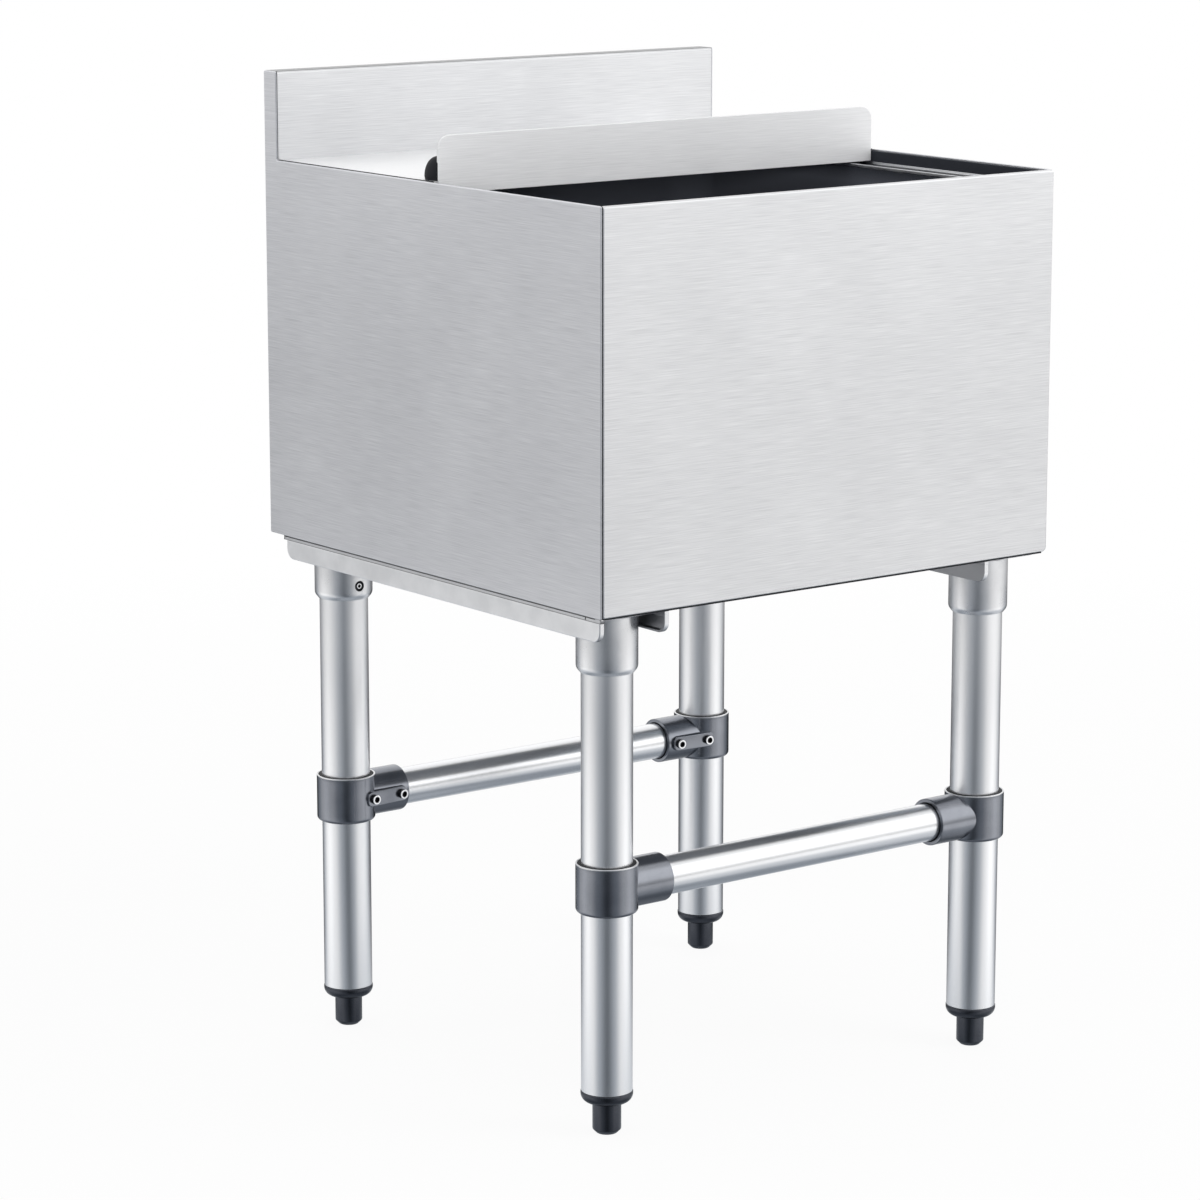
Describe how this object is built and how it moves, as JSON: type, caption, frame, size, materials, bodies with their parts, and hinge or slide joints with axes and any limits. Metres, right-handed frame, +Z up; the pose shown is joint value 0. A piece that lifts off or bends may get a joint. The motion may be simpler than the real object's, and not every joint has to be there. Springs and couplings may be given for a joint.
{
  "type": "underbar ice bin",
  "caption": "Free-standing stainless ice bin: insulated black well under a sliding lid, tall backsplash, round tube legs braced by cross rails in tee clamps, adjustable feet.",
  "frame": {"origin": "on the floor, under the middle of the box", "axes": "+Z up, +X to the right seen from the front, the front faces -Y and the backsplash is at +Y"},
  "size_m": [0.466, 0.466, 0.822],
  "materials": {
    "brushed_steel": "stainless sheet with a fine horizontal brush",
    "satin_steel": "smooth satin stainless sheet",
    "lid_steel": "stainless sheet, fine brush",
    "tube_steel": "satin stainless tube",
    "socket_steel": "satin stainless",
    "drain_chrome": "bright plated",
    "screw_steel": "bright zinc plated",
    "black_liner": "black moulded sheet, satin",
    "black_rubber": "black rubber, matt",
    "black_nylon": "black moulded nylon, satin",
    "charcoal_tee": "charcoal moulded nylon, satin",
    "foam": "closed-cell foam, out of sight"
  },
  "bodies": {
    "bin": {"front_panel": "brushed_steel", "side_panel_left": "brushed_steel", "side_panel_right": "brushed_steel", "back_panel": "brushed_steel", "backsplash": "brushed_steel", "rear_deck": "brushed_steel", "base_pan": "satin_steel", "deck_buffers": "black_rubber", "liner": "black_liner", "insulation_foam": "foam", "lid_rail_left": "satin_steel", "lid_rail_right": "satin_steel", "drain_body": "drain_chrome", "drain_strainer": "drain_chrome", "strainer_screw": "screw_steel", "drain_gasket": "black_rubber", "drain_locknut": "drain_chrome", "leg_channel_left": "satin_steel", "leg_channel_right": "satin_steel", "socket_set_screws": "screw_steel", "tee_screws": "screw_steel", "cross_rail_front": "tube_steel", "cross_rail_rear": "tube_steel", "socket_front_left": "socket_steel", "leg_front_left": "tube_steel", "tee_front_left": "charcoal_tee", "foot_insert_front_left": "black_nylon", "socket_front_right": "socket_steel", "leg_front_right": "tube_steel", "tee_front_right": "charcoal_tee", "foot_insert_front_right": "black_nylon", "socket_rear_left": "socket_steel", "leg_rear_left": "tube_steel", "tee_rear_left": "charcoal_tee", "foot_insert_rear_left": "black_nylon", "socket_rear_right": "socket_steel", "leg_rear_right": "tube_steel", "tee_rear_right": "charcoal_tee", "foot_insert_rear_right": "black_nylon"},
    "lid": {"sliding_lid": "lid_steel", "lid_glides": "black_nylon", "glide_rivets": "screw_steel"},
    "front_left_foot": {"foot_front_left": "black_nylon"},
    "front_right_foot": {"foot_front_right": "black_nylon"},
    "rear_left_foot": {"foot_rear_left": "black_nylon"},
    "rear_right_foot": {"foot_rear_right": "black_nylon"}
  },
  "joints": [
    {"name": "lid_slide", "type": "slide", "parent": "bin", "child": "lid", "axis": [0, -1, 0], "range_m": [0, 0.215]},
    {"name": "front_left_foot_screw", "type": "slide", "parent": "bin", "child": "front_left_foot", "axis": [0, 0, 1], "range_m": [-0.025, 0.018]},
    {"name": "front_right_foot_screw", "type": "slide", "parent": "bin", "child": "front_right_foot", "axis": [0, 0, 1], "range_m": [-0.025, 0.018]},
    {"name": "rear_left_foot_screw", "type": "slide", "parent": "bin", "child": "rear_left_foot", "axis": [0, 0, 1], "range_m": [-0.025, 0.018]},
    {"name": "rear_right_foot_screw", "type": "slide", "parent": "bin", "child": "rear_right_foot", "axis": [0, 0, 1], "range_m": [-0.025, 0.018]}
  ]
}
